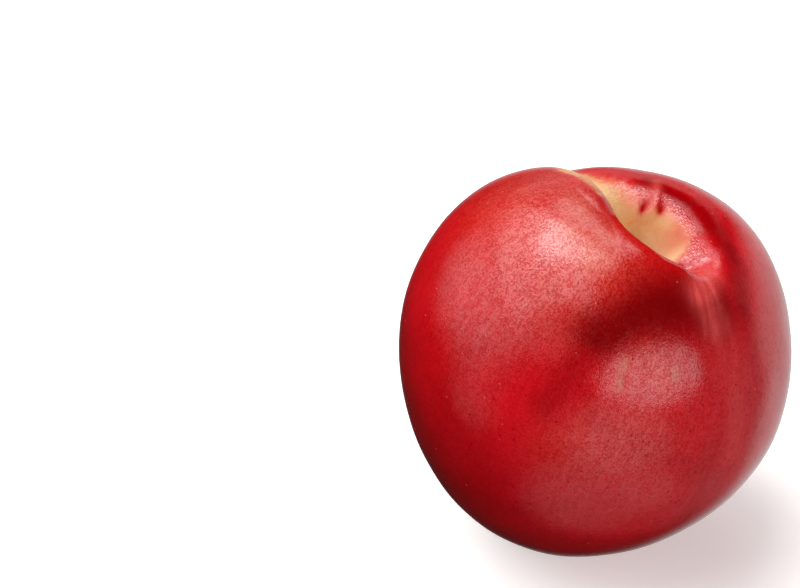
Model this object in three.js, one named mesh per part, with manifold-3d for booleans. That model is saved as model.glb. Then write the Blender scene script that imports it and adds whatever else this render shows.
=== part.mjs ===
// Nectarine: one whole ripe fruit that stands on a small flat spot, with its stem cavity, the suture that
// runs down one side, the shallow dorsal line opposite it and the blossom tip underneath.
//
// Millimetres and degrees. The part's frame has +Z up, the flat spot on z = 0 and the origin under the
// middle of the fruit. The fruit is shaped in a frame of its own: centre of the body at the origin, +X
// towards the suture, +Y towards the near cheek and +Z towards the stem. A direction in that frame is a
// longitude about +Z, from +X, and a polar angle from +Z.
import * as THREE from "three";
import { mergeVertices } from "three/addons/utils/BufferGeometryUtils.js";
import Module from "manifold-3d";

// The body: a rounded form with a fuller stem end and a slightly pointed blossom end.
const CHEEK_RADIUS = 35.7; // centre to the skin at the cheeks
const SUTURE_RADIUS = 35.5; // centre to the skin at the suture and at the dorsal line
const STEM_HEIGHT = 34.1; // centre to where the shoulders would meet without the cavity
const TIP_HEIGHT = 38.7; // centre to the blossom end
const STEM_FULLNESS = 2.07; // exponent of the section: 2 is an ellipse, more is squarer
const TIP_FULLNESS = 1.83; // less than 2 is more pointed

// Swells (rise above 0) and hollows (rise below 0) of the flesh, each a soft bell about its own direction.
const SWELLS = [
  { lon: 90, polar: 42, spread: 32, rise: 0.9 }, // shoulder of the near cheek
  { lon: -90, polar: 42, spread: 32, rise: 1.5 }, // shoulder of the far cheek
  { lon: 150, polar: 30, spread: 14, rise: 0.6 }, // lip where the near cheek closes on the dorsal line
  { lon: 100, polar: 25, spread: 14, rise: -1.8 }, // dip in the middle of the near lip
  { lon: 30, polar: 60, spread: 28, rise: 0.7 }, // upper cheek beside the suture
  { lon: 60, polar: 110, spread: 30, rise: -0.55 }, // lower near cheek
  { lon: 150, polar: 115, spread: 28, rise: -1.9 }, // flank below the dorsal line
  { lon: -150, polar: 50, spread: 26, rise: -1.5 }, // shoulder behind the dorsal line
];

// The suture: a furrow from the cavity down one side to the tip.
const SUTURE_DEPTH_STEM = 6.0; // on the axis of the fruit, from where it fades down the side
const SUTURE_DEPTH_SIDE = 0.7; // half-way down the side
const SUTURE_DEPTH_TIP = 1.3; // where it runs into the dimple
const SUTURE_REACH = 32; // polar angle over which the deep stretch fades
const SUTURE_REACH_TIP = 30; // the same, from the tip
const SUTURE_WIDTH_STEM = 3.7; // half-width where it leaves the cavity
const SUTURE_WIDTH_SIDE = 6.0; // half-width on the side and at the tip
const SUTURE_STEEPNESS = 2.1; // exponent of its section

// The dorsal line: a short notch opposite the suture, where the cavity closes.
const DORSAL_DEPTH = 3.0;
const DORSAL_WIDTH = 4.0;
const DORSAL_OFFSET = -0.9; // of its bottom, towards the far cheek
const DORSAL_POLAR = 23; // where it is deepest
const DORSAL_SPREAD = 7.0;

// The stem cavity: a bell sunk along the axis, with a half-depth width of its own on each side.
const CAVITY_DEPTH = 11.5;
const CAVITY_STEEPNESS = 1.75; // exponent of the bell
const CAVITY_TURN = -14.5; // of its long axis about the stem, from the suture
const CAVITY_AHEAD = -2.9; // of its middle, along its long axis
const CAVITY_ASIDE = 0.6; // of its middle, across it
const CAVITY_TO_SUTURE = 11.5;
const CAVITY_TO_DORSAL = 7.5;
const CAVITY_TO_NEAR = 4.2;
const CAVITY_TO_FAR = 7.8;
const PIT_DEPTH = 2.5; // the steeper pit at the bottom of the bell
const PIT_RADIUS = 4.5;
const SCAR_RADIUS = 2.2; // the corky scar that the stem left at the bottom of the cavity
const SCAR_RISE = 0.5;

// The blossom end: a shallow dimple with a small tip in it.
const DIMPLE_RADIUS = 4.0;
const DIMPLE_DEPTH = 1.4;
const TIP_RADIUS = 1.3;
const TIP_RISE = 0.9;

// How it sits: the stem axis leans, and the flat spot is pressed where the body is lowest.
const LEAN = 16.8; // stem axis from the vertical
const LEAN_HEADING = 20; // in plan, from +X
const SUTURE_HEADING = 129.7; // in plan, from +X
const FLAT_RADIUS = 7.5; // as it would be if the lower end were a ball of radius TIP_HEIGHT

// The mesh: rings from stem to tip, crowded at both ends, where the cavity and the tip are.
const AROUND = 72;
const RINGS = 60;
const CROWDING = 0.22;

const SKIN = new THREE.MeshStandardMaterial({ color: 0xb3202b, roughness: 0.38, metalness: 0 });

const { degToRad, radToDeg, smoothstep, lerp, clamp } = THREE.MathUtils;
const bell = (x, power = 2) => Math.exp(-(Math.abs(x) ** power));

function direction(lon, polar) {
  const l = degToRad(lon), p = degToRad(polar);
  return new THREE.Vector3(Math.sin(p) * Math.cos(l), Math.sin(p) * Math.sin(l), Math.cos(p));
}

// Centre to skin along a unit direction, with the body alone.
function bodyRadius(d) {
  const towardsStem = smoothstep(d.z, -0.6, 0.6);
  const fullness = lerp(TIP_FULLNESS, STEM_FULLNESS, towardsStem);
  const height = lerp(TIP_HEIGHT, STEM_HEIGHT, towardsStem);
  const across = Math.hypot(d.x / SUTURE_RADIUS, d.y / CHEEK_RADIUS);
  const along = Math.abs(d.z) / height;
  return (across ** fullness + along ** fullness) ** (-1 / fullness);
}

function swellRise(d) {
  return SWELLS.reduce((sum, { lon, polar, spread, rise }) =>
    sum + rise * bell(d.angleTo(direction(lon, polar)) / degToRad(spread)), 0);
}

// Depth of the suture and the dorsal line. Both run out in the cavity and at the tip.
function furrowDepth(d) {
  const polar = radToDeg(Math.acos(clamp(d.z, -1, 1)));
  const fromAxis = SUTURE_RADIUS * Math.hypot(d.x, d.y);
  const offLine = SUTURE_RADIUS * d.y;
  const facing = d.x / Math.max(Math.hypot(d.x, d.y), 1e-9); // 1 at the suture, -1 at the dorsal line
  const nearStem = bell(polar / SUTURE_REACH);
  const nearTip = bell((180 - polar) / SUTURE_REACH_TIP);
  const depth = SUTURE_DEPTH_SIDE + (SUTURE_DEPTH_STEM - SUTURE_DEPTH_SIDE) * nearStem
    + (SUTURE_DEPTH_TIP - SUTURE_DEPTH_SIDE) * nearTip;
  const width = lerp(SUTURE_WIDTH_SIDE, SUTURE_WIDTH_STEM, nearStem);
  const suture = depth * bell(offLine / width, SUTURE_STEEPNESS) * smoothstep(facing, -0.15, 0.45);
  const dorsal = DORSAL_DEPTH * bell((polar - DORSAL_POLAR) / DORSAL_SPREAD)
    * bell((offLine - DORSAL_OFFSET) / DORSAL_WIDTH) * smoothstep(-facing, -0.15, 0.45);
  return (suture + dorsal) * smoothstep(fromAxis, 2, 11);
}

// Inward depth of the dimple at the blossom end, less the small tip in it.
function dimpleDepth(d) {
  if (d.z > 0) return 0;
  const fromAxis = TIP_HEIGHT * Math.hypot(d.x, d.y);
  return DIMPLE_DEPTH * bell(fromAxis / DIMPLE_RADIUS) - TIP_RISE * bell(fromAxis / TIP_RADIUS);
}

// How far the cavity sinks a point of the skin along the axis, less the scar that stands in it.
function cavitySink(p) {
  const turn = degToRad(CAVITY_TURN);
  const x = p.x * Math.cos(turn) + p.y * Math.sin(turn) - CAVITY_AHEAD;
  const y = p.y * Math.cos(turn) - p.x * Math.sin(turn) - CAVITY_ASIDE;
  const reachX = lerp(CAVITY_TO_DORSAL, CAVITY_TO_SUTURE, smoothstep(x, -4, 4));
  const reachY = lerp(CAVITY_TO_FAR, CAVITY_TO_NEAR, smoothstep(y, -4, 4));
  const sink = CAVITY_DEPTH * 0.5 ** (Math.hypot(x / reachX, y / reachY) ** CAVITY_STEEPNESS);
  const fromMiddle = Math.hypot(x, y);
  const pit = PIT_DEPTH * bell(fromMiddle / PIT_RADIUS) - SCAR_RISE * bell(fromMiddle / SCAR_RADIUS, 4);
  return (sink + pit) * smoothstep(p.z, 0, 18);
}

// The skin as one closed surface, in the fruit's own frame.
function growSkin() {
  const geometry = new THREE.SphereGeometry(1, AROUND, RINGS).rotateX(Math.PI / 2);
  geometry.deleteAttribute("normal").deleteAttribute("uv");
  const position = geometry.getAttribute("position");
  const v = new THREE.Vector3();
  for (let i = 0; i < position.count; i++) {
    v.fromBufferAttribute(position, i);
    const even = Math.acos(clamp(v.z, -1, 1));
    const polar = even - CROWDING * Math.sin(2 * even);
    const d = direction(radToDeg(Math.atan2(v.y, v.x)), radToDeg(polar));
    const radius = bodyRadius(d) + swellRise(d) - furrowDepth(d) - dimpleDepth(d);
    v.copy(d).multiplyScalar(radius);
    v.z -= cavitySink(v);
    position.setXYZ(i, v.x, v.y, v.z);
  }
  return mergeVertices(geometry, 1e-3);
}

// Turns the fruit's own frame to the way it sits: the stem leans, the suture keeps its heading in plan.
function sittingTurn() {
  const stem = direction(LEAN_HEADING, LEAN);
  const suture = direction(SUTURE_HEADING, 90).projectOnPlane(stem).normalize();
  const near = new THREE.Vector3().crossVectors(stem, suture);
  return new THREE.Matrix4().makeBasis(suture, near, stem);
}

const wasm = await Module();
wasm.setup();

function solidOf(geometry) {
  const vertProperties = new Float32Array(geometry.getAttribute("position").array);
  const triVerts = new Uint32Array(geometry.index.array);
  return new wasm.Manifold(new wasm.Mesh({ numProp: 3, vertProperties, triVerts }));
}

// Presses the flat spot: everything under the level where the spot has its radius is cut away.
function pressFlat(geometry) {
  geometry.computeBoundingBox();
  const { min } = geometry.boundingBox;
  const level = min.z + TIP_HEIGHT - Math.sqrt(TIP_HEIGHT ** 2 - FLAT_RADIUS ** 2);
  const block = new THREE.BoxGeometry(200, 200, 100).translate(0, 0, level - 50);
  block.deleteAttribute("normal").deleteAttribute("uv");
  const { vertProperties, triVerts } = solidOf(geometry).subtract(solidOf(mergeVertices(block))).getMesh();
  return new THREE.BufferGeometry()
    .setAttribute("position", new THREE.BufferAttribute(vertProperties, 3))
    .setIndex(new THREE.BufferAttribute(triVerts, 1));
}

function nectarineGeometry() {
  const geometry = pressFlat(growSkin().applyMatrix4(sittingTurn()));
  geometry.computeBoundingBox();
  const { min, max } = geometry.boundingBox;
  geometry.translate(-(min.x + max.x) / 2, -(min.y + max.y) / 2, -min.z);
  geometry.computeVertexNormals();
  return geometry;
}

const nectarine = new THREE.Mesh(nectarineGeometry(), SKIN);
nectarine.name = "nectarine";

const group = new THREE.Group();
group.add(nectarine);
export default group;
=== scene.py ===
"""Nectarine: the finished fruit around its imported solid, with its floor, lights and camera.

Lengths of the fruit are in millimetres and angles in degrees, as in the solid's own source. Blender's
lengths are metres, in the row frame, where the solid stands on the floor with +Z up.

The fruit is shaped in a frame of its own: centre of the body at the origin, +X towards the suture, +Y
towards the near cheek and +Z towards the stem. A direction in that frame is a longitude about +Z, from +X,
and a polar angle from +Z.
"""
import math

import bpy
import numpy as np
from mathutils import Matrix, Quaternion, Vector


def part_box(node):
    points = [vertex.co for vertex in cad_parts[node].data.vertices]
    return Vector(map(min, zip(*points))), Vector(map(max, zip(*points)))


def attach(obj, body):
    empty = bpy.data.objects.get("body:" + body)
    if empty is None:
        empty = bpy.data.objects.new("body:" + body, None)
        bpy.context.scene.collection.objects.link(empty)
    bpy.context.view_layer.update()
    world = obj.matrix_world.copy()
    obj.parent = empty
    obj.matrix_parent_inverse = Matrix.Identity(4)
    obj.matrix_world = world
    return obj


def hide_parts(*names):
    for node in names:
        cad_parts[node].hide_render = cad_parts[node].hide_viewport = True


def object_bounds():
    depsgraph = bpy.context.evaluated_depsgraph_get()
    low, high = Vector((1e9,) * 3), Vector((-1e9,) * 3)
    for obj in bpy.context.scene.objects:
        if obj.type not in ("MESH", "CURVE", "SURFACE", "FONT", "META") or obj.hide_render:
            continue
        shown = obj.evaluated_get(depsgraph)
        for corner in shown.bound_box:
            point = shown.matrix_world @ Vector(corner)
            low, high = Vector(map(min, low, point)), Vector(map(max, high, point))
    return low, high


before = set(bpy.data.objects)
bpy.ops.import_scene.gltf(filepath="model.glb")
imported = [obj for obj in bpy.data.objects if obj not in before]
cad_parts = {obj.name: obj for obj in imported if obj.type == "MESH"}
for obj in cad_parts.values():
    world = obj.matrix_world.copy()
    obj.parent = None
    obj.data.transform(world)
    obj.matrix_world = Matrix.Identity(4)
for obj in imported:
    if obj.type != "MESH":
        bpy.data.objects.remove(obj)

bl_info = {
    "name": "Nectarine",
    "version": (1, 0, 0),
    "blender": (4, 5, 0),
    "location": "View3D > Sidebar > Nectarine",
    "description": "Grows a ripe nectarine with a procedural skin, and sets its studio",
    "category": "Object",
}

CAD_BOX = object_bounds()
MM = 0.001
NODE_SPACING = 180  # of shader nodes in their editor

# The body: a rounded form with a fuller stem end and a slightly pointed blossom end.
CHEEK_RADIUS = 35.7
SUTURE_RADIUS = 35.5
STEM_HEIGHT = 34.1
TIP_HEIGHT = 38.7
STEM_FULLNESS = 2.07  # exponent of the section: 2 is an ellipse, more is squarer
TIP_FULLNESS = 1.83  # less than 2 is more pointed
ENDS_MEET = (-0.6, 0.6)  # heights on the unit sphere between which the ends pass into each other

# Swells (rise above 0) and hollows (below 0) of the flesh: longitude, polar angle, spread, rise.
SWELLS = (
    (90, 42, 32, 0.9),  # shoulder of the near cheek
    (-90, 42, 32, 1.5),  # shoulder of the far cheek
    (150, 30, 14, 0.6),  # lip where the near cheek closes on the dorsal line
    (100, 25, 14, -1.8),  # dip in the middle of the near lip
    (30, 60, 28, 0.7),  # upper cheek beside the suture
    (60, 110, 30, -0.55),  # lower near cheek
    (150, 115, 28, -1.9),  # flank below the dorsal line
    (-150, 50, 26, -1.5),  # shoulder behind the dorsal line
)

# The suture runs from the cavity down one side to the tip; the dorsal line is a short notch opposite it.
SUTURE_DEPTH_STEM = 6.0  # on the axis of the fruit, from where it fades down the side
SUTURE_DEPTH_SIDE = 0.7
SUTURE_DEPTH_TIP = 1.3
SUTURE_REACH = 32  # polar angle over which the deep stretch fades
SUTURE_REACH_TIP = 30  # the same, from the tip
SUTURE_WIDTH_STEM = 3.7
SUTURE_WIDTH_SIDE = 6.0
SUTURE_STEEPNESS = 2.1  # exponent of its section
DORSAL_DEPTH = 3.0
DORSAL_WIDTH = 4.0
DORSAL_OFFSET = -0.9  # of its bottom, towards the far cheek
DORSAL_POLAR = 23  # where it is deepest
DORSAL_SPREAD = 7.0
FURROW_SIDE = (-0.15, 0.45)  # cosines of the angle in plan to its side where a furrow is gone and full
FURROW_START = (2, 11)  # distances from the axis at which the furrows set in and are full

# The stem cavity: a bell sunk along the axis, with a half-depth width of its own on each side.
CAVITY_DEPTH = 11.5
CAVITY_STEEPNESS = 1.75  # exponent of the bell
CAVITY_TURN = -14.5  # of its long axis about the stem, from the suture
CAVITY_AHEAD = -2.9  # of its middle, along its long axis
CAVITY_ASIDE = 0.6  # of its middle, across it
CAVITY_TO_SUTURE = 11.5
CAVITY_TO_DORSAL = 7.5
CAVITY_TO_NEAR = 4.2
CAVITY_TO_FAR = 7.8
CAVITY_BLEND = 4  # how far from the middle one side's width has passed into the other's
CAVITY_FULL_HEIGHT = 18  # over the centre of the body, from where it sinks in full
PIT_DEPTH = 2.5  # the steeper pit at the bottom of the bell
PIT_RADIUS = 4.5
SCAR_RADIUS = 2.2  # the corky scar that the stem left at the bottom of the cavity
SCAR_RISE = 0.5
SCAR_STEEPNESS = 4

# The blossom end: a shallow dimple with a small tip in it.
DIMPLE_RADIUS = 4.0
DIMPLE_DEPTH = 1.4
TIP_RADIUS = 1.3
TIP_RISE = 0.9

# How it sits: the stem axis leans, and the flat spot is pressed where the body is lowest.
LEAN = 16.8  # stem axis from the vertical
LEAN_HEADING = 20  # in plan, from +X
SUTURE_HEADING = 129.7  # in plan, from +X
FLAT_RADIUS = 7.5  # as it would be if the lower end were a ball of radius TIP_HEIGHT

# The rib on the far wall of the cavity, in plan about the stem axis, and the creases at its foot.
RIB_FOOT = (2.65, -4.55)
RIB_HEADING = -41
RIB_LENGTH = 9.5
RIB_WIDTH_FOOT = 1.25
RIB_WIDTH_HEAD = 0.9
RIB_RISE = (-1.5, 2)  # along the rib, where it sets in and is full
RIB_FALL = (0.3 * RIB_LENGTH, RIB_LENGTH)  # where it starts to run out and is gone
RIB_BLUSH_RISE = (1, 5)  # the same for the blush on it
RIB_BLUSH_FALL = (8, 11)
CREASES = ((2.2, 1.6), (1.2, -1.4))  # middle of each, along the rib and across it
CREASE_WIDTH = 0.65
CREASE_LENGTH = 1.25

# A band joins two directions: longitude and polar angle of both ends, half-width in degrees, strength.
BAND_STEEPNESS = 2.6  # exponent of its section: more than 2 is flatter on top

# The rounded rim of the cavity; the strength is the share of its rise.
RIM_BANDS = (
    (52, 20, 76, 17, 6, 0.32),  # near lip
    (76, 17, 100, 18, 6, 0.43),
    (100, 18, 136, 23, 6, 0.43),
    (136, 23, 155, 28, 6, 0.27),
    (60, 36, 84, 29, 8, 0.8),  # shoulder of the near cheek
    (84, 29, 97, 27, 8, 0.8),
    (-18, 21, -45, 15.5, 5.5, 0.8),  # far shoulder
    (-45, 15.5, -75, 12, 5.5, 1.0),
    (-75, 12, -118, 11.5, 5.5, 1.0),
    (-118, 11.5, -150, 16, 5.5, 1.0),
    (-150, 16, -165, 19.5, 5.5, 0.9),
)

# The grainy strip of the wall, just inside the rim.
GRAIN_BANDS = (
    (-8, 24, -24, 19.5, 3.0, 1.0),
    (-24, 19.5, -40, 16.5, 2.2, 0.8),
    (-62, 13.5, -90, 13, 2.0, 0.9),
    (-90, 13, -118, 13.5, 2.0, 1.0),
    (-118, 13.5, -148, 17, 2.0, 1.0),
    (-148, 17, -161, 21, 2.2, 1.0),
)

# Low waves of the flesh: wavelengths over the skin, and how many of them are summed.
WAVE_SEED = 11
WAVE_COUNT = 14
WAVE_LENGTHS = (9.0, 20.0)

# The mesh is crowded towards the stem, and by this share as much towards the tip.
CROWDING_AT_TIP = 0.3
CORNER_DECIMALS = 6  # corners of the squares that agree to so many decimals are one point

# Cream paint: how far it reaches in the cavity, in half-depth widths, and its half-width along the suture.
CREAM_FULL = 0.75
CREAM_NONE = 1.30
CREAM_TO_LIP = 1.62  # how much further it reaches on the near side
NEAR_SIDE = (1, 5)  # across the cavity, where the near side sets in and is full
SEAM_WIDTH_STEM = 5.6
SEAM_WIDTH_SIDE = 1.2
SEAM_STEEPNESS = 3
SEAM_REACH = 42  # polar angle over which it narrows
SEAM_SIDE = (0, 0.5)  # cosines of the angle in plan to the suture where the seam is gone and full
SEAM_FADE = 52  # polar angle over which its cream thins
SEAM_FADE_STEEPNESS = 4
SEAM_REST = 0.15  # share of its cream that is left below
TIP_SPREAD = 6  # angle of the paint round the tip

# Bands of painted shade (darker red), of painted light (brighter red), and of paler, thinner and streaked
# blush.
# Painted shade: the red turns deep red where the fruit lies in shade, under the end of the lip, behind the
# far shoulder and low on the near cheek.
PAINTED_SHADE_BANDS = (
    (175, 42, 147, 45, 10, 1.0),  # on the near cheek, under the end of the lip
    (147, 45, 131, 56, 8, 1.0),  # down the front of the near cheek
    (131, 56, 124, 80, 5, 0.4),
    (-40, 21, -98, 18.5, 3.4, 0.75),  # behind the far shoulder
    (-98, 18.5, -122, 20.5, 3.5, 0.75),
    (-122, 20.5, -148, 31, 4, 0.8),
    (-148, 31, -165, 44, 5, 0.6),
    (60, 100, 86, 128, 14, 0.55),  # low on the near cheek, towards the suture: a painted shadow
)
# Painted light: the red turns bright red where the fruit is lit more, below the dorsal line, on the far
# flank and on the near cheek.
PAINTED_LIGHT_BANDS = (
    (180, 58, -166, 104, 13, 0.6),  # below the dorsal line
    (160, 96, 146, 118, 15, 0.7),
    (-138, 44, -152, 98, 19, 1.0),  # flank of the far cheek
    (-108, 46, -120, 112, 17, 1.0),
    (146, 70, 168, 76, 15, 0.7),  # on the near cheek
    (126, 92, 160, 108, 21, 0.9),  # low on the near cheek
)
PALE_BANDS = (
    (80, 26, 112, 28, 5, 0.4),  # along the near lip
    (96, 34, 118, 36, 5, 0.6),  # shoulder of the near cheek along the lip
    (141.5, 61, 142, 69, 1.4, 0.9),  # patch low on the near cheek
    (158.5, 60, 158.5, 63, 1.3, 1.0),  # a second patch beside it
    (150, 60, 150, 66, 7, 0.15),  # faint, round both
)
# Thinner blush: pale red in flecks where the sheen lies on the skin, partly paler blush and partly painted
# sheen.
THIN_BLUSH_AND_SHEEN_BANDS = (
    (60, 36, 112, 40, 20, 1.0),  # the near cheek where its sheen lies: paler blush in flecks, partly painted sheen
    (134, 92, 152, 84, 12, 0.6),
)
FAN_BANDS = (
    (-172, 27, -179, 31, 4.5, 0.6),  # streaks from the end of the cavity along the dorsal line
    (-179, 31, 172, 38, 5.5, 1.25),
    (172, 38, 176, 48, 5.5, 0.7),
    (176, 48, -176, 62, 6, 0.25),
    (-177, 68, -175, 86, 4, 0.35),  # and faint ones further down
)

# Where the skin is dull, and the strength at which it has no gloss left.
DULL_BANDS = (
    (40, 21, 62, 15.5, 1.7, 0.4),  # crest of the near lip
    (62, 15.5, 82, 14.5, 1.7, 0.4),
    (82, 14.5, 106, 16.5, 1.7, 0.4),
    (106, 16.5, 127, 21.5, 2.6, 1.0),
    (127, 21.5, 149, 29.5, 2.6, 1.0),
    (149, 29.5, 163, 31, 2.2, 1.0),
    (-30, 21.5, -50, 19.5, 2.6, 0.55),  # behind the far shoulder
    (-50, 19.5, -78, 18.5, 3.3, 0.72),
    (-78, 18.5, -98, 18.5, 3.2, 0.6),
    (-98, 18.5, -122, 20, 3.5, 0.68),
    (-122, 20, -142, 23, 3.6, 0.6),
)
DULL_FULL = 0.72

# Where the cream runs up the wall and over the crest beside the suture.
CREST_BANDS = (
    (12, 33, 28, 26.5, 4.5, 0.75),  # wall
    (28, 26.5, 48, 15, 4.5, 0.75),
    (28, 29, 50, 18.5, 2.3, 0.65),  # crest
    (50, 18.5, 66, 15.5, 2.0, 0.5),
)

# Spots of paint in the cavity, in plan about the stem axis: middle and radius.
RED_SPOT = (6.0, -7.2, 3.3)
# The ochre spot is partly ochre skin and partly painted shade where the cavity lies deepest in sight.
OCHRE_AND_SHADE_SPOT = (3.8, -2.8, 4.8)
PEACH_SPOT = (-4.8, -6.2, 4.2)
LIGHT_SPOT = (-8.6, -3.4, 5.6)
TINT_STRENGTH = 0.9  # of the ochre, the peach and the light cream, and of the rib's blush
CREASE_STRENGTH = 1.2
TIP_STRENGTH = 0.8

# The edge of the cream: how far it strays, and the shares of cream between which it is laid on, over a
# blush edge that reaches further out.
CREAM_STRAY = (-0.1, 0.1)
CREAM_EDGE = (0.35, 0.9)
BLUSH_EDGE = (0.1, 0.6)

# The tone of the red: its shares of clouds, patches and mottle, and how far it turns bright.
CLOUD_SHARE = 0.5
PATCH_SHARE = 0.25
MOTTLE_SHARE = 0.25
BRIGHT_SHARE = 0.45

# Each kind of blush, and the painted shade and sheen, is laid on between two strengths, as the noise that
# breaks it up goes from 0 to 1.
THIN_BLUSH_AND_SHEEN_STRENGTHS = (0.08, 0.34)
DARK_STRENGTHS = (1.05, 0.9)
PALE_STRENGTHS = (0.5, 1)
STREAK_STRENGTHS = (0.52, 1)
DEEP_STRENGTHS = (0.2, 0)

# Fine mottle of the skin: scale per millimetre and share of its fine, coarse and drawn-out flecks.
FINE_FLECKS = (2.5, 0.62)
COARSE_FLECKS = (0.9, 0.2)
DRAWN_FLECKS = (1.5, 0.18)

# Specks: cells per millimetre, radius, softness of the edge.
DARK_SPECKS = (0.80, 0.30, 0.20)
PALE_SPECKS = (0.30, 0.24, 0.16)
PALE_SPECK_STRENGTH = 0.4

# Scales of the other noises of the skin, per millimetre.
SPECK_DRIFT_SCALE = 0.25
CLOUD_SCALE = 0.09
PATCH_SCALE = 0.40
STREAK_SCALE = 0.34
CREAM_DRIFT_SCALE = 0.30
CREAM_EDGE_SCALE = 0.7
BARK_SCALE = 2.4
PORE_SCALE = 3.4
PEEL_SCALE = 1.1
CORK_SCALE = 1.8
GLOSS_STREAK_SCALE = 0.45

# Relief of the skin: its depth in metres, and how much of it the pores, the peel and the cork have.
RELIEF_DEPTH = 0.00007
PORE_SHARES = (0.25, 1.8)  # on plain skin and in the grainy strip
PEEL_SHARE = 0.15
CORK_SHARE = 6.0

# Gloss: between flecks and on them, and its factors between streaks, on them and in the grainy strip.
FLECK_GLOSS = (0.27, 0.73)
STREAK_GLOSS = (0.88, 1.12)
GRAIN_GLOSS = 1.5
FLECK_ROUGHNESS = (-0.03, 0.04)  # added between and on the flecks
CREAM_ROUGHNESS = 0.35  # added on the cream
SCAR_ROUGHNESS = 0.4  # added on the scar

# The floor: sides of its round edge, and the scale per metre and the shade of its grain.
FLOOR_SIDES = 96
FLOOR_GRAIN_SCALE = 60.0
FLOOR_GRAIN_SHADE = 0.985

# Lights: name, heading, height, distance, sizes, shares of the half-sizes over which the left, right, low
# and high side fade, or the rim of a round one, whether it is round, and its roll. Lengths are in metres.
LIGHTS = (
    ("top", -82, 68, 1.10, (1.62, 1.28), (0.35, 0.5, 0.4, 0.12), False, 0),
    ("key", -25, 68.0, 1.00, (0.52, 0.16), (0.8, 0.8, 0.8, 0.8), False, 8),
    ("halo", -42, 70, 1.00, (1.0, 1.0), (1.0,), True, 0),
    ("back", 13, 51.5, 1.00, (0.52, 0.38), (0.7, 0.7, 0.7, 0.8), False, 0),
    ("left", -90, 27, 1.02, (2.5, 1.35), (0.85, 0.85, 0.85, 0.85), False, 0),
    ("front", 140.8, 16.6, 1.00, (1.32, 0.64), (0.2,), True, 0),
)

# Pale lobes of the surroundings: heading, height, angles at which each is full and gone, brightness.
WORLD_LOBES = (
    (27, -21, 18, 42, 0.85),  # behind, on the floor
    (-8, 31, 6, 34, 0.6),  # behind, over the fruit
    (167, -20, 6, 33, 1.1),  # in front, on the floor
    (170, -60, 5, 30, 0.5),  # in front, steeply below
    (100, -30, 25, 55, 0.3),  # on the right
    (-140, 40, 6, 24, 0.9),  # in front on the left
    (-112, -13, 4, 20, 0.45),  # on the left, on the floor
)
BACKDROP_GLOW = 0.9  # of the surroundings where the camera sees them

# The camera looks at this point of the row frame.
CAMERA_AIM = (-0.0354, 0.0040, 0.0457)
CAMERA_LENS = 150.0
CAMERA_SENSOR = 36.0
CAMERA_NEAR = 0.01  # the nearest that it sees, in metres


def smoothstep(x, low, high):
    """Rises from 0 at low to 1 at high, level at both ends."""
    share = np.clip((x - low) / (high - low), 0, 1)
    return share * share * (3 - 2 * share)


def lerp(first, second, share):
    return first + (second - first) * share


def bell(x, power=2.0):
    return np.exp(-np.abs(x) ** power)


def direction(lon, polar):
    lon, polar = math.radians(lon), math.radians(polar)
    across = math.sin(polar)
    return np.array((across * math.cos(lon), across * math.sin(lon), math.cos(polar)))


def stem_angle(d):
    """Radians between each unit direction and the stem."""
    return np.arccos(np.clip(d[:, 2], -1, 1))


def suture_facing(d):
    """Which way each direction faces in plan: 1 to the suture, -1 to the dorsal line."""
    return d[:, 0] / np.maximum(np.hypot(d[:, 0], d[:, 1]), 1e-9)


def angle_to(d, lon, polar):
    """Degrees between each unit direction and the one at a longitude and a polar angle."""
    return np.degrees(np.arccos(np.clip(d @ direction(lon, polar), -1, 1)))


def body_radius(d):
    """Centre to skin along each unit direction, with the body alone."""
    towards_stem = smoothstep(d[:, 2], *ENDS_MEET)
    fullness = lerp(TIP_FULLNESS, STEM_FULLNESS, towards_stem)
    height = lerp(TIP_HEIGHT, STEM_HEIGHT, towards_stem)
    across = np.hypot(d[:, 0] / SUTURE_RADIUS, d[:, 1] / CHEEK_RADIUS)
    along = np.abs(d[:, 2]) / height
    return (across ** fullness + along ** fullness) ** (-1 / fullness)


def swell_rise(d):
    return sum(rise * bell(angle_to(d, lon, polar) / spread) for lon, polar, spread, rise in SWELLS)


def furrow_depth(d):
    """Depth of the suture and the dorsal line. Both run out in the cavity and at the tip."""
    polar = np.degrees(stem_angle(d))
    from_axis = SUTURE_RADIUS * np.hypot(d[:, 0], d[:, 1])
    off_line = SUTURE_RADIUS * d[:, 1]
    facing = suture_facing(d)
    near_stem = bell(polar / SUTURE_REACH)
    near_tip = bell((180 - polar) / SUTURE_REACH_TIP)
    depth = (SUTURE_DEPTH_SIDE + (SUTURE_DEPTH_STEM - SUTURE_DEPTH_SIDE) * near_stem
             + (SUTURE_DEPTH_TIP - SUTURE_DEPTH_SIDE) * near_tip)
    width = lerp(SUTURE_WIDTH_SIDE, SUTURE_WIDTH_STEM, near_stem)
    suture = depth * bell(off_line / width, SUTURE_STEEPNESS) * smoothstep(facing, *FURROW_SIDE)
    dorsal = (DORSAL_DEPTH * bell((polar - DORSAL_POLAR) / DORSAL_SPREAD)
              * bell((off_line - DORSAL_OFFSET) / DORSAL_WIDTH) * smoothstep(-facing, *FURROW_SIDE))
    return (suture + dorsal) * smoothstep(from_axis, *FURROW_START)


def dimple_depth(d):
    """Depth of the dimple at the blossom end, less the small tip in it."""
    from_axis = TIP_HEIGHT * np.hypot(d[:, 0], d[:, 1])
    dimple = DIMPLE_DEPTH * bell(from_axis / DIMPLE_RADIUS) - TIP_RISE * bell(from_axis / TIP_RADIUS)
    return np.where(d[:, 2] > 0, 0, dimple)


def band_shape(d, lon_1, polar_1, lon_2, polar_2, width):
    """A soft band along the arc between two directions, 0 to 1."""
    start, end = direction(lon_1, polar_1), direction(lon_2, polar_2)
    span = end - start
    share = np.clip((d - start) @ span / (span @ span), 0, 1)[:, None]
    nearest = start + share * span
    nearest /= np.linalg.norm(nearest, axis=1, keepdims=True)
    return bell(np.degrees(np.arccos(np.clip((d * nearest).sum(1), -1, 1))) / width, BAND_STEEPNESS)


def bands(d, rows):
    return np.max([strength * band_shape(d, *ends) for *ends, strength in rows], axis=0)


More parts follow.
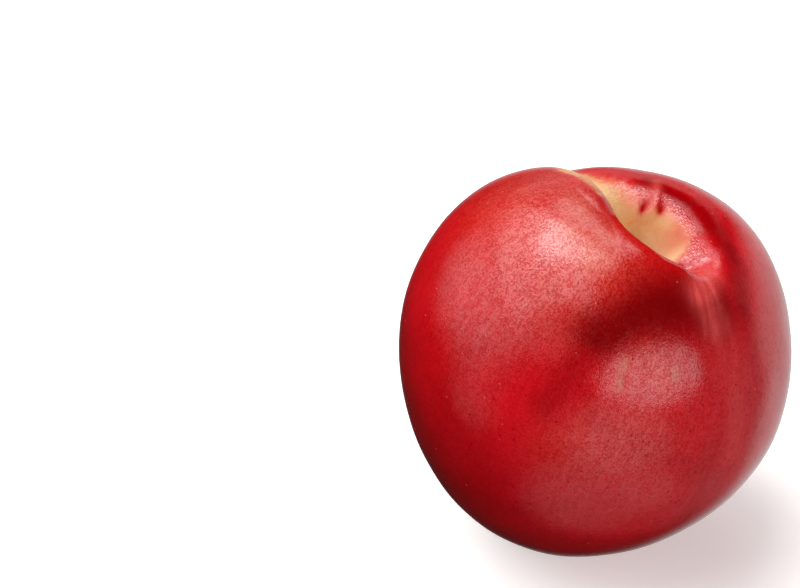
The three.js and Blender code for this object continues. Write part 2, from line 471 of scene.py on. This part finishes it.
def cavity_plan(p):
    """Plan of the cavity: along and across its long axis from its middle, and half-depth widths away."""
    turn = math.radians(CAVITY_TURN)
    x = p[:, 0] * math.cos(turn) + p[:, 1] * math.sin(turn) - CAVITY_AHEAD
    y = p[:, 1] * math.cos(turn) - p[:, 0] * math.sin(turn) - CAVITY_ASIDE
    reach_x = lerp(CAVITY_TO_DORSAL, CAVITY_TO_SUTURE, smoothstep(x, -CAVITY_BLEND, CAVITY_BLEND))
    reach_y = lerp(CAVITY_TO_FAR, CAVITY_TO_NEAR, smoothstep(y, -CAVITY_BLEND, CAVITY_BLEND))
    return x, y, np.hypot(x / reach_x, y / reach_y)


def cavity_sink(p):
    """How far the cavity sinks each point along the axis, less the scar that stands in it."""
    x, y, widths = cavity_plan(p)
    from_middle = np.hypot(x, y)
    sink = CAVITY_DEPTH * 0.5 ** (widths ** CAVITY_STEEPNESS)
    scar = SCAR_RISE * bell(from_middle / SCAR_RADIUS, SCAR_STEEPNESS)
    pit = PIT_DEPTH * bell(from_middle / PIT_RADIUS) - scar
    return (sink + pit) * smoothstep(p[:, 2], 0, CAVITY_FULL_HEIGHT)


def rib_plan(p):
    """Along the rib from its foot, and across it."""
    heading = math.radians(RIB_HEADING)
    x, y = p[:, 0] - RIB_FOOT[0], p[:, 1] - RIB_FOOT[1]
    return x * math.cos(heading) + y * math.sin(heading), y * math.cos(heading) - x * math.sin(heading)


def rib_shape(p):
    """The rib, 0 to 1, on the stem side of the fruit."""
    along, across = rib_plan(p)
    width = lerp(RIB_WIDTH_FOOT, RIB_WIDTH_HEAD, np.clip(along / RIB_LENGTH, 0, 1))
    length = smoothstep(along, *RIB_RISE) * (1 - smoothstep(along, *RIB_FALL))
    return bell(across / width) * length * (p[:, 2] > 0)


def crease_shape(p):
    """The pair of creases that flank the foot of the rib, 0 to 1."""
    along, across = rib_plan(p)
    return sum(bell((along - ahead) / CREASE_LENGTH) * bell((across - aside) / CREASE_WIDTH)
               for ahead, aside in CREASES) * (p[:, 2] > 0)


def flesh_waves(d):
    """Low waves of the flesh: a seeded sum of plane waves through the sphere, about 1 high."""
    draw = np.random.default_rng(WAVE_SEED)
    total = np.zeros(len(d))
    for _ in range(WAVE_COUNT):
        axis = draw.normal(size=3)
        turns = CHEEK_RADIUS / draw.uniform(*WAVE_LENGTHS)
        total += np.cos(2 * math.pi * (turns * (d @ (axis / np.linalg.norm(axis))) + draw.random()))
    return total / math.sqrt(WAVE_COUNT)


def sphere_of_squares(cells):
    """Unit directions and quads of a cube's faces, each of cells x cells, blown up to a sphere."""
    step = np.tan(np.linspace(-1, 1, cells + 1) * math.pi / 4)
    u, v = (grid.ravel() for grid in np.meshgrid(step, step, indexing="ij"))
    i, j = (grid.ravel() for grid in np.meshgrid(np.arange(cells), np.arange(cells), indexing="ij"))
    corner = i * (cells + 1) + j
    square = np.stack((corner, corner + cells + 1, corner + cells + 2, corner + 1), -1)
    one = np.ones_like(u)
    sides = ((one, u, v), (-one, -u, v), (-u, one, v), (u, -one, v), (-v, u, one), (v, u, -one))
    points = np.concatenate([np.stack(side, -1) for side in sides])
    quads = np.concatenate([square + k * len(u) for k in range(len(sides))])
    points /= np.linalg.norm(points, axis=1, keepdims=True)
    rounded = np.round(points, CORNER_DECIMALS)
    _, first, shared = np.unique(rounded, axis=0, return_index=True, return_inverse=True)
    return points[first], shared.reshape(-1)[quads]


def crowd_to_stem(d, crowding):
    """Draws the directions towards both ends, most of all to the stem, where the cavity needs them."""
    even = stem_angle(d)
    polar = even - crowding * np.sin(2 * even) * lerp(CROWDING_AT_TIP, 1, (1 + d[:, 2]) / 2)
    lon = np.arctan2(d[:, 1], d[:, 0])
    return np.stack((np.sin(polar) * np.cos(lon), np.sin(polar) * np.sin(lon), np.cos(polar)), -1)


def fruit_skin(d, form):
    """Points of the skin in the fruit's own frame, in millimetres."""
    radius = body_radius(d) + swell_rise(d) - furrow_depth(d) - dimple_depth(d)
    radius += form.wave_height / MM * flesh_waves(d) + form.rim_height / MM * bands(d, RIM_BANDS)
    p = d * radius[:, None]
    p[:, 2] -= cavity_sink(p)
    p[:, 2] += form.rib_height / MM * rib_shape(p) - form.crease_depth / MM * crease_shape(p)
    return p


def sitting_turn():
    """Rows: suture, near cheek and stem, in the row frame."""
    stem = direction(LEAN_HEADING, LEAN)
    suture = direction(SUTURE_HEADING, 90)
    suture = suture - (suture @ stem) * stem
    suture /= np.linalg.norm(suture)
    return np.stack((suture, np.cross(stem, suture), stem))


def seat_on_solid(p):
    """Presses the flat spot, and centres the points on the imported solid, in millimetres."""
    level = p[:, 2].min() + TIP_HEIGHT - math.sqrt(TIP_HEIGHT ** 2 - FLAT_RADIUS ** 2)
    p[:, 2] = np.maximum(p[:, 2], level)
    low, high = (np.array(corner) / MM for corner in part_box("nectarine"))
    middle = (p.min(0) + p.max(0)) / 2
    return p + (*((low + high) / 2 - middle)[:2], low[2] - level)


def spot(p, x, y, radius):
    """A round spot in plan about the stem axis, 0 to 1, on the stem side."""
    return bell(np.hypot(p[:, 0] - x, p[:, 1] - y) / radius) * (p[:, 2] > 0)


def paint_marks(d, p):
    """Where each kind of paint lies on the skin, 0 to 1, by the name of its mesh attribute."""
    polar = np.degrees(stem_angle(d))
    x, y, widths = cavity_plan(p)
    on_top = p[:, 2] > 0
    crest = bands(d, CREST_BANDS)
    seam_width = lerp(SEAM_WIDTH_SIDE, SEAM_WIDTH_STEM, bell(polar / SEAM_REACH, SEAM_STEEPNESS))
    seam = bell(SUTURE_RADIUS * d[:, 1] / seam_width, SEAM_STEEPNESS)
    seam = seam * smoothstep(suture_facing(d), *SEAM_SIDE)
    seam = seam * lerp(SEAM_REST, 1, bell(polar / SEAM_FADE, SEAM_FADE_STEEPNESS))
    along, across = rib_plan(p)
    rib_length = smoothstep(along, *RIB_BLUSH_RISE) * (1 - smoothstep(along, *RIB_BLUSH_FALL))
    reach = lerp(1, CREAM_TO_LIP, smoothstep(y, *NEAR_SIDE))
    cream = 1 - smoothstep(widths / reach, CREAM_FULL, CREAM_NONE)
    return {
        "cream": cream * on_top * (1 - spot(p, *RED_SPOT)),
        "seam": np.maximum(seam, crest),
        "rib": bell(across / RIB_WIDTH_HEAD) * rib_length * on_top,
        "crease": crease_shape(p),
        "dull": bands(d, DULL_BANDS),
        "scar": bell(np.hypot(x, y) / SCAR_RADIUS, SCAR_STEEPNESS) * on_top,
        "tip": bell(angle_to(d, 0, 180) / TIP_SPREAD) * (1 - on_top),
        "grainy": bands(d, GRAIN_BANDS),
        # ochre: partly painted shade deep in the cavity
        "ochre": spot(p, *OCHRE_AND_SHADE_SPOT),
        "peach": spot(p, *PEACH_SPOT),
        "light": np.maximum(spot(p, *LIGHT_SPOT), crest),
        # The dark marks are painted shade, the bright marks painted light, and the thin marks paler blush
        # partly standing for painted sheen.
        "dark": bands(d, PAINTED_SHADE_BANDS),
        "bright": bands(d, PAINTED_LIGHT_BANDS),
        "pale": bands(d, PALE_BANDS),
        "thin": bands(d, THIN_BLUSH_AND_SHEEN_BANDS),
        "fan": bands(d, FAN_BANDS),
    }


def add_mark(mesh, name, values):
    mesh.attributes.new(name, "FLOAT", "POINT").data.foreach_set("value", values.astype(np.float32))


def add_vectors(mesh, name, vectors):
    flat = vectors.astype(np.float32).ravel()
    mesh.attributes.new(name, "FLOAT_VECTOR", "POINT").data.foreach_set("vector", flat)


def meridian_grain(d, stretch=0.22):
    """Coordinates in which noise runs in streaks from stem to tip."""
    lon = np.arctan2(d[:, 1], d[:, 0])
    return CHEEK_RADIUS * np.stack((np.cos(lon), np.sin(lon), stretch * stem_angle(d)), -1)


def build_fruit(form):
    """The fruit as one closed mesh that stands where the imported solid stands."""
    d, quads = sphere_of_squares(form.cells)
    d = crowd_to_stem(d, form.crowding)
    own = fruit_skin(d, form)
    seated = seat_on_solid(own @ sitting_turn()) * MM
    mesh = bpy.data.meshes.new("nectarine_fruit")
    mesh.from_pydata(seated.tolist(), [], quads.tolist())
    mesh.polygons.foreach_set("use_smooth", np.ones(len(quads), dtype=bool))
    for name, values in paint_marks(d, own).items():
        add_mark(mesh, name, values)
    add_vectors(mesh, "fruit_point", own)
    add_vectors(mesh, "grain", meridian_grain(d))
    mesh.update()
    fruit = bpy.data.objects.new("nectarine_fruit", mesh)
    bpy.context.scene.collection.objects.link(fruit)
    return fruit


def node(tree, kind, inputs=None, **settings):
    """Adds a shader node; an input is a value or another node's socket. Returns its outputs."""
    made = tree.nodes.new("ShaderNode" + kind)
    made.location.x = NODE_SPACING * len(tree.nodes)
    for key, value in settings.items():
        setattr(made, key, value)
    for key, value in (inputs or {}).items():
        if isinstance(value, bpy.types.NodeSocket):
            tree.links.new(value, made.inputs[key])
        else:
            made.inputs[key].default_value = value
    return made.outputs


def mark(tree, name):
    return node(tree, "Attribute", attribute_name=name)["Fac"]


def place(tree, name):
    return node(tree, "Attribute", attribute_name=name)["Vector"]


def noise(tree, where, scale, detail=2.0, roughness=0.5):
    inputs = {"Vector": where, "Scale": scale, "Detail": detail, "Roughness": roughness}
    return node(tree, "TexNoise", inputs)["Fac"]


def ramp(tree, value, low, high, bottom=0.0, top=1.0):
    """Soft step from bottom to top as the value goes from low to high."""
    inputs = {"Value": value, "From Min": low, "From Max": high, "To Min": bottom, "To Max": top}
    return node(tree, "MapRange", inputs, interpolation_type="SMOOTHSTEP")["Result"]


def calc(tree, operation, first, second, clamp=False):
    return node(tree, "Math", {0: first, 1: second}, operation=operation, use_clamp=clamp)[0]


def blend(tree, share, first, second, kind="MIX"):
    inputs = {0: share, 6: first, 7: second}
    return node(tree, "Mix", inputs, data_type="RGBA", blend_type=kind)[2]


def specks(tree, where, per_mm, radius, softness):
    """Round specks in cells, 1 in the middle of each; radius is in millimetres."""
    inputs = {"Vector": where, "Scale": per_mm, "Randomness": 1.0}
    distance = node(tree, "TexVoronoi", inputs)["Distance"]
    return ramp(tree, distance, radius * per_mm, (radius - softness) * per_mm)


def colour(value):
    return (*value, 1.0)


def skin_mottle(tree, where, grain):
    """Fine flecks among coarser ones and ones drawn out from stem to tip, 0 to 1."""
    scale, share = FINE_FLECKS
    flecks = calc(tree, "MULTIPLY", noise(tree, where, scale, 3.0, 0.7), share)
    for point, (scale, share) in ((where, COARSE_FLECKS), (grain, DRAWN_FLECKS)):
        more = calc(tree, "MULTIPLY", noise(tree, point, scale, 2.0, 0.6), share)
        flecks = calc(tree, "ADD", flecks, more)
    return ramp(tree, flecks, 0.38, 0.62)


def skin_dots(tree, where):
    """Small dark specks, stronger in some places than in others, 0 to 1."""
    strength = ramp(tree, noise(tree, where, SPECK_DRIFT_SCALE, 3.0, 0.6), 0.4, 0.65, 0.25, 0.9)
    return calc(tree, "MULTIPLY", specks(tree, where, *DARK_SPECKS), strength)


def red_blush(tree, skin, where, grain, mottle, dots):
    """The red of the skin: cloudy tones, streaks from stem to tip, fine mottle and specks, with painted
    shade, painted light and painted sheen laid on in bands.
    """
    cloud = ramp(tree, noise(tree, where, CLOUD_SCALE, 3.0), 0.32, 0.70)
    patch = ramp(tree, noise(tree, where, PATCH_SCALE, 4.0, 0.6), 0.36, 0.66)
    tone = calc(tree, "ADD", calc(tree, "MULTIPLY", cloud, CLOUD_SHARE),
                calc(tree, "MULTIPLY", patch, PATCH_SHARE))
    tone = calc(tree, "ADD", tone, calc(tree, "MULTIPLY", mottle, MOTTLE_SHARE))
    bright = calc(tree, "MULTIPLY", tone, BRIGHT_SHARE)
    # The bright bands add painted light to the tone: brighter red where the fruit is lit more.
    bright = calc(tree, "ADD", bright, mark(tree, "bright"), clamp=True)
    red = blend(tree, bright, colour(skin.ripe_red), colour(skin.bright_red))
    # The thin bands lay pale red in flecks where the sheen lies: partly paler blush, partly painted sheen.
    thin = calc(tree, "MULTIPLY", mark(tree, "thin"), ramp(tree, mottle, 0, 1, *THIN_BLUSH_AND_SHEEN_STRENGTHS))
    red = blend(tree, thin, red, colour(skin.pale_red))
    # The dark bands lay on deep red as painted shade.
    dark = ramp(tree, tone, 0, 1, *DARK_STRENGTHS)
    dark = calc(tree, "MULTIPLY", mark(tree, "dark"), dark, clamp=True)
    red = blend(tree, dark, red, colour(skin.deep_red))
    pale = calc(tree, "MULTIPLY", mark(tree, "pale"), ramp(tree, patch, 0, 1, *PALE_STRENGTHS))
    red = blend(tree, pale, red, colour(skin.pale_red))
    streak = ramp(tree, noise(tree, grain, STREAK_SCALE, 2.0, 0.45), 0.35, 0.65, *STREAK_STRENGTHS)
    red = blend(tree, calc(tree, "MULTIPLY", mark(tree, "fan"), streak), red, colour(skin.streak_pink))
    red = blend(tree, ramp(tree, mottle, 0, 1, *DEEP_STRENGTHS), red, colour(skin.deep_red))
    red = blend(tree, dots, red, colour(skin.speck_red))
    pale_specks = calc(tree, "MULTIPLY", specks(tree, where, *PALE_SPECKS), PALE_SPECK_STRENGTH)
    return blend(tree, pale_specks, red, colour(skin.speck_tan))


def cream_paint(tree, skin, where):
    """The unblushed skin of the cavity and the seam: cream and tan, with spots of their own tints; the
    ochre spot is partly ochre skin and partly painted shade where the cavity lies deepest.
    """
    drift = ramp(tree, noise(tree, where, CREAM_DRIFT_SCALE, 2.0), 0.3, 0.7)
    paint = blend(tree, drift, colour(skin.cream), colour(skin.tan))
    for name, tint in (("ochre", skin.ochre), ("light", skin.light_cream), ("peach", skin.peach)):
        paint = blend(tree, calc(tree, "MULTIPLY", mark(tree, name), TINT_STRENGTH), paint, colour(tint))
    return paint


def skin_colour(tree, skin, where, grain, mottle, dots):
    """Red blush with its painted shade, light and sheen, cream cavity and seam, rib, creases, scar and
    tip. Also returns the cream's share.
    """
    red = red_blush(tree, skin, where, grain, mottle, dots)
    drift = ramp(tree, noise(tree, where, CREAM_EDGE_SCALE, 4.0, 0.6), 0.3, 0.7, *CREAM_STRAY)
    unblushed = calc(tree, "MAXIMUM", mark(tree, "cream"), mark(tree, "seam"))
    edge = calc(tree, "ADD", unblushed, drift)
    cream = ramp(tree, edge, *CREAM_EDGE)
    painted = blend(tree, ramp(tree, edge, *BLUSH_EDGE), red, colour(skin.blush_edge))
    painted = blend(tree, cream, painted, cream_paint(tree, skin, where))
    rib = calc(tree, "MULTIPLY", mark(tree, "rib"), TINT_STRENGTH)
    painted = blend(tree, rib, painted, colour(skin.rib_pink))
    crease = calc(tree, "MULTIPLY", mark(tree, "crease"), CREASE_STRENGTH, clamp=True)
    painted = blend(tree, crease, painted, colour(skin.crease_red))
    cracks = noise(tree, where, BARK_SCALE, 4.0, 0.7)
    bark = blend(tree, cracks, colour(skin.scar_dark), colour(skin.scar_brown))
    painted = blend(tree, mark(tree, "scar"), painted, bark)
    tip = calc(tree, "MULTIPLY", mark(tree, "tip"), TIP_STRENGTH)
    return blend(tree, tip, painted, colour(skin.tan)), cream


def skin_relief(tree, where, scar):
    """Fine pores all over, deeper in the grainy strip, and coarse cork on the scar."""
    pores = noise(tree, where, PORE_SCALE, 0.0)
    pores = calc(tree, "MULTIPLY", pores, ramp(tree, mark(tree, "grainy"), 0, 1, *PORE_SHARES))
    peel = calc(tree, "MULTIPLY", noise(tree, where, PEEL_SCALE, 2.0), PEEL_SHARE)
    height = calc(tree, "ADD", pores, peel)
    cork = noise(tree, where, CORK_SCALE, 5.0, 0.75)
    cork = calc(tree, "MULTIPLY", cork, calc(tree, "MULTIPLY", scar, CORK_SHARE))
    inputs = {"Height": calc(tree, "ADD", height, cork), "Strength": 1.0, "Distance": RELIEF_DEPTH}
    return node(tree, "Bump", inputs)["Normal"]


def bloom(tree, grain, mottle, cream, dots):
    """The waxy bloom breaks the gloss up in flecks and streaks. The grainy strip has more gloss, and
    cream, specks, dull bands and creases have less."""
    gloss = ramp(tree, mottle, 0, 1, *FLECK_GLOSS)
    streaks = noise(tree, grain, GLOSS_STREAK_SCALE, 3.0, 0.6)
    gloss = calc(tree, "MULTIPLY", gloss, ramp(tree, streaks, 0.35, 0.65, *STREAK_GLOSS))
    gloss = calc(tree, "MULTIPLY", gloss, ramp(tree, mark(tree, "grainy"), 0, 1, 1, GRAIN_GLOSS))
    dull = ramp(tree, mark(tree, "dull"), 0, DULL_FULL)
    for duller, share in ((cream, 0.3), (dots, 0.7), (dull, 1), (mark(tree, "crease"), 1)):
        gloss = calc(tree, "MULTIPLY", gloss, ramp(tree, duller, 0, 1, 1, 1 - share))
    return gloss


def skin_material(skin):
    material = bpy.data.materials.new("nectarine_skin")
    material.use_nodes = True
    tree = material.node_tree
    shader = tree.nodes["Principled BSDF"]
    where, grain = place(tree, "fruit_point"), place(tree, "grain")
    mottle, dots = skin_mottle(tree, where, grain), skin_dots(tree, where)
    base, cream = skin_colour(tree, skin, where, grain, mottle, dots)
    rough = ramp(tree, mottle, 0, 1, *(skin.gloss_roughness + change for change in FLECK_ROUGHNESS))
    rough = calc(tree, "ADD", rough, calc(tree, "MULTIPLY", cream, CREAM_ROUGHNESS))
    cork = calc(tree, "MULTIPLY", mark(tree, "scar"), SCAR_ROUGHNESS)
    rough = calc(tree, "ADD", rough, cork, clamp=True)
    tree.links.new(base, shader.inputs["Base Color"])
    tree.links.new(rough, shader.inputs["Roughness"])
    tree.links.new(bloom(tree, grain, mottle, cream, dots), shader.inputs["Specular IOR Level"])
    tree.links.new(skin_relief(tree, where, mark(tree, "scar")), shader.inputs["Normal"])
    shader.inputs["IOR"].default_value = 1.45
    shader.inputs["Subsurface Weight"].default_value = skin.flesh_glow
    shader.inputs["Subsurface Radius"].default_value = (1.0, 0.3, 0.15)
    shader.inputs["Subsurface Scale"].default_value = 0.002
    return material


def floor_material(stage):
    material = bpy.data.materials.new("pale_floor")
    material.use_nodes = True
    tree = material.node_tree
    shader = tree.nodes["Principled BSDF"]
    where = node(tree, "TexCoord")["Object"]
    grain = ramp(tree, noise(tree, where, FLOOR_GRAIN_SCALE, 2.0), 0.3, 0.7)
    tint = tuple(FLOOR_GRAIN_SHADE * part for part in stage.floor_colour)
    grained = blend(tree, grain, colour(tint), colour(stage.floor_colour))
    tree.links.new(grained, shader.inputs["Base Color"])
    shader.inputs["Roughness"].default_value = 0.75
    shader.inputs["Specular IOR Level"].default_value = 0.2
    shader.inputs["Emission Color"].default_value = colour(stage.floor_colour)
    shader.inputs["Emission Strength"].default_value = stage.floor_glow
    return material


def build_floor(stage):
    """A wide round floor under the fruit."""
    turns = np.linspace(0, 2 * math.pi, FLOOR_SIDES, endpoint=False)
    rim = [(stage.floor_radius * math.cos(t), stage.floor_radius * math.sin(t), 0) for t in turns]
    mesh = bpy.data.meshes.new("floor")
    mesh.from_pydata(rim, [], [tuple(range(len(rim)))])
    mesh.materials.append(floor_material(stage))
    floor = bpy.data.objects.new("floor", mesh)
    floor.visible_diffuse = floor.visible_glossy = False  # the lobes of the surroundings stand for it
    bpy.context.scene.collection.objects.link(floor)
    return floor


def heading_vector(heading, height):
    """Unit vector at a compass heading from +Y towards +X and an angle above the floor, in degrees."""
    heading, height = math.radians(heading), math.radians(height)
    return Vector((math.sin(heading) * math.cos(height), math.cos(heading) * math.cos(height),
                   math.sin(height)))


def fade_panel(light, fades, round_panel):
    """Lets a panel fade out over shares of its half-width: at its left, right, low and high side, or at
    the rim of a round one."""
    light.use_nodes = True
    tree = light.node_tree
    across = node(tree, "NewGeometry")["Parametric"]
    from_middle = node(tree, "VectorMath", {0: across, 1: (2, 2, 0), 2: (-1, -1, 0)},
                       operation="MULTIPLY_ADD")[0]
    if round_panel:
        part = node(tree, "VectorMath", {0: from_middle}, operation="LENGTH")["Value"]
        strength = ramp(tree, part, 1, 1 - fades[0])
    else:
        sides = node(tree, "SeparateXYZ", {0: from_middle})
        shares = [ramp(tree, sides[k // 2], sign, sign * (1 - fade))
                  for k, (sign, fade) in enumerate(zip((-1, 1, -1, 1), fades))]
        strength = calc(tree, "MULTIPLY", calc(tree, "MULTIPLY", *shares[:2]),
                        calc(tree, "MULTIPLY", *shares[2:]))
    tree.links.new(strength, tree.nodes["Emission"].inputs["Strength"])


def add_panel(name, glow, heading, height, distance, size, fades, round_panel, turn):
    """A soft light that faces the fruit, rolled by turn; glow is the brightness of its middle."""
    light = bpy.data.lights.new(name, "AREA")
    light.shape = "ELLIPSE" if round_panel else "RECTANGLE"
    light.size, light.size_y = size
    light.energy = glow * math.pi * size[0] * size[1] * (math.pi / 4 if round_panel else 1)
    fade_panel(light, fades, round_panel)
    panel = bpy.data.objects.new(name, light)
    towards = heading_vector(heading, height)
    panel.location = Vector((0, 0, CAD_BOX[1][2] / 2)) + distance * towards
    panel.rotation_mode = "QUATERNION"
    roll = Quaternion((0, 0, 1), math.radians(turn))
    panel.rotation_quaternion = towards.to_track_quat("Z", "Y") @ roll
    bpy.context.scene.collection.objects.link(panel)


def build_lights(stage):
    for name, *panel in LIGHTS:
        add_panel(name + "_light", getattr(stage, name + "_glow"), *panel)


def build_world(stage):
    """Soft pale lobes round the fruit, and as pale as the floor where the camera sees past its edge."""
    world = bpy.data.worlds.new("studio")
    bpy.context.scene.world = world
    world.use_nodes = True
    tree = world.node_tree
    towards = node(tree, "TexCoord")["Generated"]
    strength = stage.world_light
    for heading, height, full, none, glow in WORLD_LOBES:
        facing = node(tree, "VectorMath", {0: towards, 1: heading_vector(heading, height)},
                      operation="DOT_PRODUCT")["Value"]
        lobe = ramp(tree, facing, math.cos(math.radians(none)), math.cos(math.radians(full)), 0, glow)
        strength = calc(tree, "ADD", lobe, strength)
    seen = node(tree, "LightPath")["Is Camera Ray"]
    strength = node(tree, "Mix", {0: seen, 2: strength, 3: BACKDROP_GLOW})[0]
    tree.links.new(strength, tree.nodes["Background"].inputs["Strength"])
    tree.nodes["Background"].inputs["Color"].default_value = (1, 1, 1, 1)


def build_camera(stage):
    """Stands above and in front of the fruit, a little to the right."""
    camera = bpy.data.cameras.new("camera")
    camera.lens = CAMERA_LENS
    camera.sensor_width = CAMERA_SENSOR
    camera.clip_start = CAMERA_NEAR
    towards = heading_vector(180 - math.degrees(stage.camera_heading), math.degrees(stage.camera_height))
    holder = bpy.data.objects.new("camera", camera)
    holder.location = Vector(CAMERA_AIM) + stage.camera_distance * towards
    holder.rotation_mode = "QUATERNION"
    holder.rotation_quaternion = towards.to_track_quat("Z", "Y")
    bpy.context.scene.collection.objects.link(holder)
    bpy.context.scene.camera = holder


def colour_setting(name, description, default):
    return bpy.props.FloatVectorProperty(name=name, description=description, default=default,
                                         subtype="COLOR", size=3, min=0, max=1)


class FruitFormSettings(bpy.types.PropertyGroup):
    """Sizes of the fine forms of the fruit."""
    cells: bpy.props.IntProperty(
        name="Cells", description="Cells along each side of the six squares of the mesh",
        default=128, min=16, max=128)
    crowding: bpy.props.FloatProperty(
        name="Crowding", description="How far the mesh is drawn towards the stem, and less so to the tip",
        default=0.28, min=0, max=0.4)
    wave_height: bpy.props.FloatProperty(
        name="Waves", description="Height of the low waves of the flesh",
        default=0.00005, unit="LENGTH")
    rim_height: bpy.props.FloatProperty(
        name="Rim", description="How far the rim of the cavity stands up",
        default=0.00065, unit="LENGTH")
    rib_height: bpy.props.FloatProperty(
        name="Rib", description="Height of the rib on the wall of the cavity",
        default=0.0005, unit="LENGTH")
    crease_depth: bpy.props.FloatProperty(
        name="Creases", description="Depth of the creases beside the rib",
        default=0.0005, unit="LENGTH")


class FruitSkinSettings(bpy.types.PropertyGroup):
    """Colours and gloss of the skin."""
    # Deep red is also the painted shade of the dark bands.
    deep_red: colour_setting("Deep red", "Darkest blush", (0.19, 0.0003, 0.001))
    ripe_red: colour_setting("Ripe red", "Common tone of the blush", (0.44, 0.001, 0.003))
    # Bright red is also the painted light of the bright bands.
    bright_red: colour_setting("Bright red", "Lighter clouds in the blush", (0.70, 0.006, 0.014))
    # Pale red is also laid on as painted sheen in the thin bands.
    pale_red: colour_setting("Pale red", "Thin blush", (0.56, 0.11, 0.055))
    blush_edge: colour_setting("Blush edge", "Pink between the red and the cream", (0.58, 0.09, 0.05))
    speck_red: colour_setting("Dark specks", "Fine dark specks", (0.30, 0.002, 0.004))
    speck_tan: colour_setting("Pale specks", "Fine pale specks", (0.60, 0.20, 0.13))
    cream: colour_setting("Cream", "Unblushed skin", (0.64, 0.405, 0.175))
    tan: colour_setting("Tan", "Darker unblushed skin", (0.55, 0.28, 0.09))
    # Ochre is also painted shade deep in the cavity, towards the suture.
    ochre: colour_setting("Ochre", "Skin of the cavity towards the suture", (0.42, 0.115, 0.008))
    light_cream: colour_setting(
        "Light cream", "Skin where the cavity closes and beside the suture", (0.72, 0.42, 0.23))
    peach: colour_setting("Peach", "Thin blush on the wall of the cavity", (0.50, 0.06, 0.02))
    streak_pink: colour_setting("Streaks", "Streaks along the dorsal line", (0.78, 0.085, 0.08))
    rib_pink: colour_setting("Rib", "Rib on the wall of the cavity", (0.46, 0.04, 0.03))
    crease_red: colour_setting("Creases", "Creases beside the rib", (0.34, 0.003, 0.002))
    scar_brown: colour_setting("Scar", "Cork of the stem scar", (0.22, 0.11, 0.045))
    scar_dark: colour_setting("Scar cracks", "Cracks in the cork", (0.05, 0.025, 0.012))
    gloss_roughness: bpy.props.FloatProperty(
        name="Roughness", description="Roughness of the gloss", default=0.18, min=0, max=1)
    flesh_glow: bpy.props.FloatProperty(
        name="Flesh glow", description="Share of the light that spreads under the skin",
        default=0.12, min=0, max=1)


class StudioSettings(bpy.types.PropertyGroup):
    """Floor, lights and camera."""
    floor_radius: bpy.props.FloatProperty(
        name="Floor", description="Radius of the round floor", default=2.5, unit="LENGTH")
    floor_colour: colour_setting("Floor colour", "Colour of the floor", (0.92, 0.92, 0.91))
    floor_glow: bpy.props.FloatProperty(
        name="Floor glow", description="Glow of the floor, as of a light table", default=0.4, min=0)
    top_glow: bpy.props.FloatProperty(
        name="Top light", description="Brightness of the broad light above", default=3.0)
    key_glow: bpy.props.FloatProperty(
        name="Key light", description="Brightness that the key light adds to the top light", default=12.5)
    halo_glow: bpy.props.FloatProperty(
        name="Halo light", description="Brightness of the soft light round the key light", default=1.8)
    back_glow: bpy.props.FloatProperty(
        name="Back light", description="Brightness that the back light adds", default=3.0)
    left_glow: bpy.props.FloatProperty(
        name="Left light", description="Brightness of the broad light at the left", default=2.05)
    front_glow: bpy.props.FloatProperty(
        name="Front light", description="Brightness of the round light at the front right", default=2.8)
    world_light: bpy.props.FloatProperty(
        name="Surroundings", description="Least brightness of the surroundings", default=0.02, min=0)
    camera_distance: bpy.props.FloatProperty(
        name="Camera distance", description="From the camera to the point it looks at", default=0.6,
        unit="LENGTH")
    camera_heading: bpy.props.FloatProperty(
        name="Camera heading", description="How far the camera stands to the right of the front",
        default=math.radians(4.098), subtype="ANGLE")
    camera_height: bpy.props.FloatProperty(
        name="Camera height", description="Angle of the camera above the floor",
        default=math.radians(33.917), subtype="ANGLE")


class NECTARINE_OT_studio(bpy.types.Operator):
    """Set the camera, the pale floor and the soft lights"""
    bl_idname = "nectarine.studio"
    bl_label = "Set the studio"

    def execute(self, context):
        stage = context.scene.nectarine_studio
        build_camera(stage)
        build_lights(stage)
        build_world(stage)
        context.scene.view_settings.view_transform = "Standard"
        build_floor(stage)
        return {"FINISHED"}


class NECTARINE_OT_fruit(bpy.types.Operator):
    """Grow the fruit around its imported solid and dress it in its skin"""
    bl_idname = "nectarine.fruit"
    bl_label = "Grow the fruit"

    def execute(self, context):
        fruit = build_fruit(context.scene.nectarine_form)
        if fruit.data.validate():
            raise RuntimeError("the fruit's mesh has faulty faces")
        fruit.data.materials.append(skin_material(context.scene.nectarine_skin))
        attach(fruit, "root")
        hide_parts("nectarine")
        return {"FINISHED"}


class NECTARINE_PT_sidebar(bpy.types.Panel):
    """Sizes, colours and steps of the nectarine"""
    bl_idname = "NECTARINE_PT_sidebar"
    bl_label = "Nectarine"
    bl_space_type = "VIEW_3D"
    bl_region_type = "UI"
    bl_category = "Nectarine"

    def draw(self, context):
        for step, settings in STEPS:
            box = self.layout.box()
            for name in settings:
                group = getattr(context.scene, name)
                for key in group.bl_rna.properties.keys():
                    if key not in ("rna_type", "name"):
                        box.prop(group, key)
            box.operator(step)


# Each step's operator, and the settings that it reads.
STEPS = (
    ("nectarine.studio", ("nectarine_studio",)),
    ("nectarine.fruit", ("nectarine_form", "nectarine_skin")),
)
SETTINGS = (
    ("nectarine_form", FruitFormSettings),
    ("nectarine_skin", FruitSkinSettings),
    ("nectarine_studio", StudioSettings),
)
CLASSES = (*(group for _, group in SETTINGS), NECTARINE_OT_studio, NECTARINE_OT_fruit,
           NECTARINE_PT_sidebar)


def register():
    for made in CLASSES:
        bpy.utils.register_class(made)
    for name, group in SETTINGS:
        setattr(bpy.types.Scene, name, bpy.props.PointerProperty(type=group))


def unregister():
    for name, _ in SETTINGS:
        delattr(bpy.types.Scene, name)
    for made in reversed(CLASSES):
        bpy.utils.unregister_class(made)


def main():
    register()
    bpy.ops.nectarine.studio()
    bpy.ops.nectarine.fruit()


if __name__ == "__main__":
    main()
